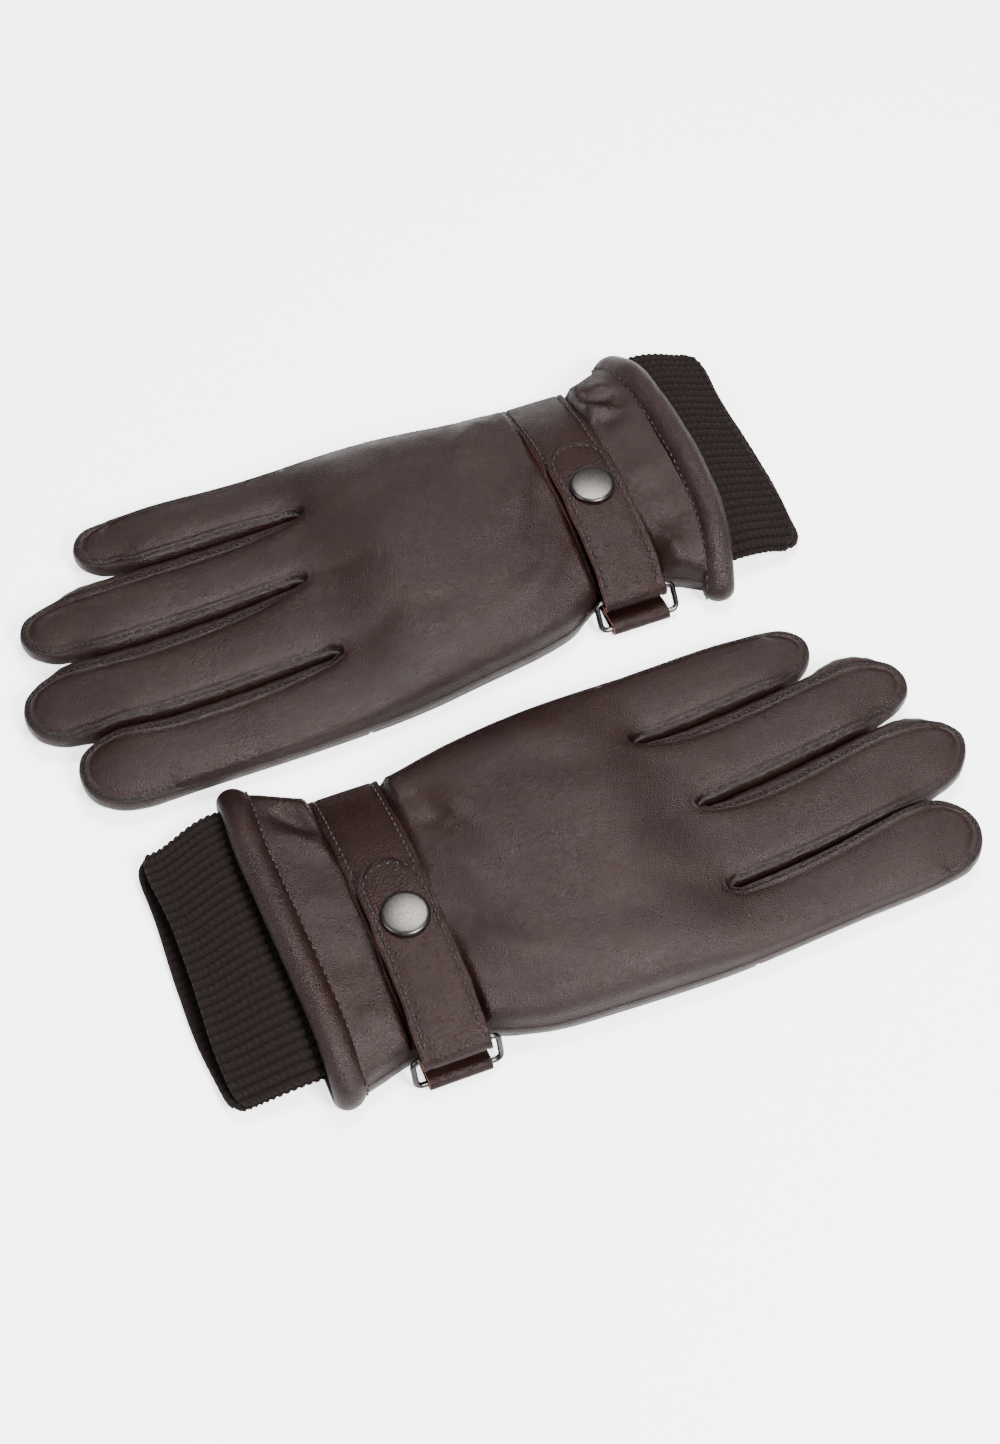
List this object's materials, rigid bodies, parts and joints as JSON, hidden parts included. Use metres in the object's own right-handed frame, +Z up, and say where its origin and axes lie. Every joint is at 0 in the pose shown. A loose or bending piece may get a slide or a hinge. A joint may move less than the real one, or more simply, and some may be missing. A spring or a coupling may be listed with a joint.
{
  "type": "leather gloves",
  "caption": "Pair of gentlemen's dress gloves in dark leather with rib-knit inner cuffs, buckle-ring wrist straps and press studs, lying palm down.",
  "frame": {"origin": "on the table, under the middle of the pair", "axes": "+X along the left glove from cuff to fingertips, +Y across from the left glove to the right one, +Z up from the table"},
  "size_m": [0.2684, 0.2362, 0.0258],
  "materials": {
    "leather": "satin, fine grain",
    "strap_leather": "satin, slightly coarser grain",
    "lining": "brushed fleece",
    "rib_knit": "rib knit",
    "snap_metal": "antiqued, matt",
    "ring_metal": "dark nickel"
  },
  "bodies": {
    "left_hand": {"left_hand_leather": "leather", "left_hand_lining": "lining", "left_cuff_hem": "leather", "left_knit_cuff": "rib_knit", "left_strap_base": "strap_leather", "left_ring_tab": "strap_leather", "left_snap_stud": "snap_metal"},
    "left_strap_flap": {"left_strap_flap": "strap_leather", "left_snap_cap": "snap_metal", "left_snap_socket": "snap_metal"},
    "left_strap_ring": {"left_strap_ring": "ring_metal"},
    "left_thumb": {"left_thumb_leather": "leather", "left_thumb_lining": "lining"},
    "left_index": {"left_index_leather": "leather", "left_index_fourchette": "leather", "left_index_lining": "lining"},
    "left_middle": {"left_middle_leather": "leather", "left_middle_fourchettes": "leather", "left_middle_lining": "lining"},
    "left_ring": {"left_ring_leather": "leather", "left_ring_fourchettes": "leather", "left_ring_lining": "lining"},
    "left_little": {"left_little_leather": "leather", "left_little_fourchette": "leather", "left_little_lining": "lining"},
    "right_hand": {"right_hand_leather": "leather", "right_hand_lining": "lining", "right_cuff_hem": "leather", "right_knit_cuff": "rib_knit", "right_strap_base": "strap_leather", "right_ring_tab": "strap_leather", "right_snap_stud": "snap_metal"},
    "right_strap_flap": {"right_strap_flap": "strap_leather", "right_snap_cap": "snap_metal", "right_snap_socket": "snap_metal"},
    "right_strap_ring": {"right_strap_ring": "ring_metal"},
    "right_thumb": {"right_thumb_leather": "leather", "right_thumb_lining": "lining"},
    "right_index": {"right_index_leather": "leather", "right_index_fourchette": "leather", "right_index_lining": "lining"},
    "right_middle": {"right_middle_leather": "leather", "right_middle_fourchettes": "leather", "right_middle_lining": "lining"},
    "right_ring": {"right_ring_leather": "leather", "right_ring_fourchettes": "leather", "right_ring_lining": "lining"},
    "right_little": {"right_little_leather": "leather", "right_little_fourchette": "leather", "right_little_lining": "lining"}
  },
  "joints": [
    {"name": "left_index_bend", "type": "hinge", "parent": "left_hand", "child": "left_index", "pos_m": [0.0424, -0.1044, 0], "axis": [-0.0739, 0.9973, 0], "range_deg": [0, 80]},
    {"name": "left_middle_bend", "type": "hinge", "parent": "left_hand", "child": "left_middle", "pos_m": [0.0434, -0.0794, 0], "axis": [-0.1376, 0.9905, 0], "range_deg": [0, 80]},
    {"name": "left_ring_bend", "type": "hinge", "parent": "left_hand", "child": "left_ring", "pos_m": [0.0394, -0.0504, 0], "axis": [-0.1359, 0.9907, 0], "range_deg": [0, 80]},
    {"name": "left_little_bend", "type": "hinge", "parent": "left_hand", "child": "left_little", "pos_m": [0.0349, -0.0224, 0], "axis": [-0.0656, 0.9978, 0], "range_deg": [0, 80]},
    {"name": "left_thumb_unfold", "type": "hinge", "parent": "left_hand", "child": "left_thumb", "pos_m": [-0.0211, -0.0904, 0], "axis": [-0.224, 0.9746, 0], "range_deg": [0, 100]},
    {"name": "left_strap_open", "type": "hinge", "parent": "left_hand", "child": "left_strap_flap", "pos_m": [-0.0521, -0.11243, 0.01115], "axis": [1, 0, 0], "range_deg": [0, 170]},
    {"name": "left_ring_swivel", "type": "hinge", "parent": "left_hand", "child": "left_strap_ring", "pos_m": [-0.0521, -0.1158, 0.0028], "axis": [1, 0, 0], "range_deg": [0, 5]},
    {"name": "right_index_bend", "type": "hinge", "parent": "right_hand", "child": "right_index", "pos_m": [-0.0361, 0.0171, 0], "axis": [0, -1, 0], "range_deg": [0, 80]},
    {"name": "right_middle_bend", "type": "hinge", "parent": "right_hand", "child": "right_middle", "pos_m": [-0.0366, 0.0451, 0], "axis": [-0.0154, -0.9999, 0], "range_deg": [0, 80]},
    {"name": "right_ring_bend", "type": "hinge", "parent": "right_hand", "child": "right_ring", "pos_m": [-0.0336, 0.0731, 0], "axis": [-0.0531, -0.9986, 0], "range_deg": [0, 80]},
    {"name": "right_little_bend", "type": "hinge", "parent": "right_hand", "child": "right_little", "pos_m": [-0.0296, 0.0986, 0], "axis": [-0.0628, -0.998, 0], "range_deg": [0, 80]},
    {"name": "right_thumb_unfold", "type": "hinge", "parent": "right_hand", "child": "right_thumb", "pos_m": [0.0299, 0.0356, 0], "axis": [-0.1336, -0.991, 0], "range_deg": [0, 100]},
    {"name": "right_strap_open", "type": "hinge", "parent": "right_hand", "child": "right_strap_flap", "pos_m": [0.0609, 0.0205, 0.00959], "axis": [1, 0, 0], "range_deg": [0, 140]},
    {"name": "right_ring_swivel", "type": "hinge", "parent": "right_hand", "child": "right_strap_ring", "pos_m": [0.0609, 0.0146, 0.0028], "axis": [1, 0, 0], "range_deg": [0, 5]},
    {"name": "right_glove_lift", "type": "slide", "parent": "left_hand", "child": "right_hand", "axis": [0, 0, 1], "range_m": [0, 0.15]}
  ]
}
